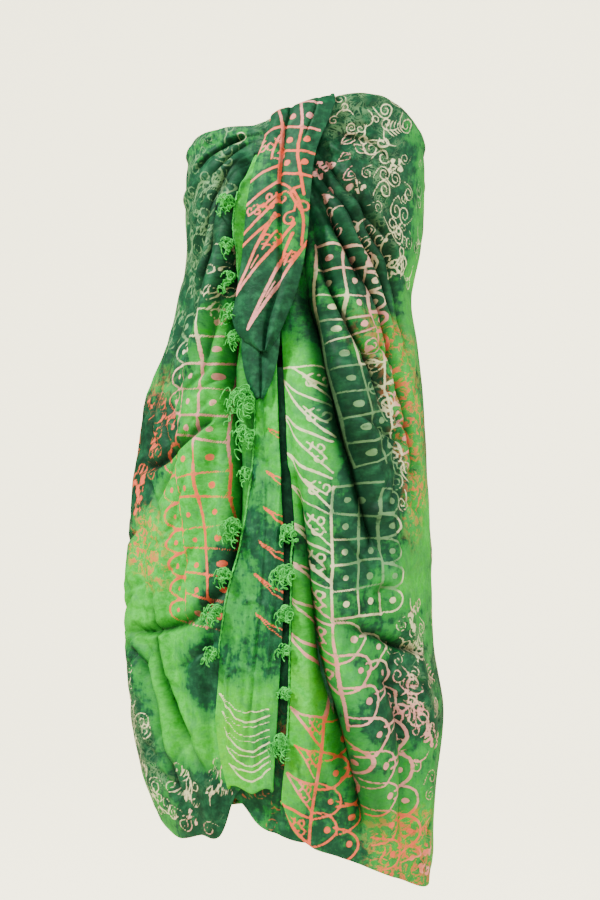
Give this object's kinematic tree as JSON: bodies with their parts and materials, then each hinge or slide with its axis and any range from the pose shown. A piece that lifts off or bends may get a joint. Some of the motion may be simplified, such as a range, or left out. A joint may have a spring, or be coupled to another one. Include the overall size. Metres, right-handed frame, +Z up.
{
  "type": "sarong",
  "caption": "Sarong of thin batik cloth, wound round under the arms and tucked at the front, with a folded end over the top edge and fringed edges hanging down the middle.",
  "frame": {"origin": "middle of the top opening, at underarm height, where the wearer's chest holds the cloth", "axes": "+Z up along the wearer, -Y out of the front, +X to the right of someone who looks at the front"},
  "size_m": [0.4329, 0.3107, 0.9905],
  "materials": {
    "back_stretch": "soft woven rayon, batik dyed green",
    "front_left_stretch": "soft woven rayon, batik dyed bright green",
    "front_right_stretch": "soft woven rayon, batik dyed dark green",
    "under_lap": "soft woven rayon, batik dyed green",
    "tail": "soft woven rayon, batik dyed green",
    "lappet": "soft woven rayon, batik dyed dark green",
    "lappet_tip": "soft woven rayon, batik dyed dark green",
    "fringe_tail": "loose twisted yarn ends, matt",
    "fringe_right": "loose twisted yarn ends, matt"
  },
  "bodies": {
    "root": {"back_stretch": "back_stretch", "front_left_stretch": "front_left_stretch", "front_right_stretch": "front_right_stretch", "under_lap": "under_lap", "tail": "tail", "lappet": "lappet", "lappet_tip": "lappet_tip", "fringe_tail": "fringe_tail", "fringe_right": "fringe_right"}
  },
  "joints": []
}
